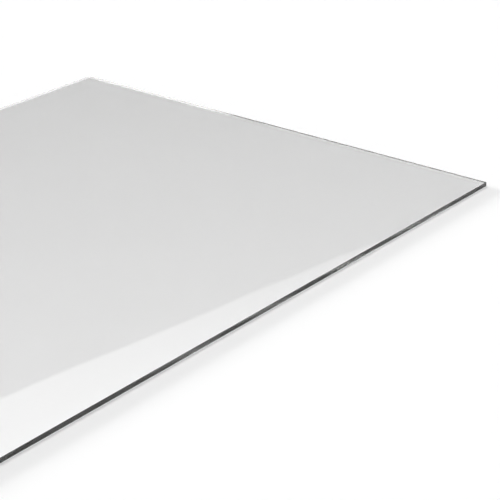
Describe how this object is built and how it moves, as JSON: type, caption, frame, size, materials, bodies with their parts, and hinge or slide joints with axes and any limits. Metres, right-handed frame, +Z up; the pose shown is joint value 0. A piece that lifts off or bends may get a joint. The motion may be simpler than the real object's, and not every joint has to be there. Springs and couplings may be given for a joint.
{
  "type": "clear acrylic sheet",
  "caption": "Flat rectangular sheet of clear colourless acrylic with polished faces, squared edges and fine eased arrises, stored lying flat.",
  "frame": {"origin": "middle of the underside, on the surface that the sheet lies on", "axes": "+X along the long side, +Y along the short side, +Z up through the thickness"},
  "size_m": [1.2, 0.6, 0.005],
  "materials": {
    "clear_acrylic": "polished"
  },
  "bodies": {
    "root": {"acrylic_sheet": "clear_acrylic"}
  },
  "joints": []
}
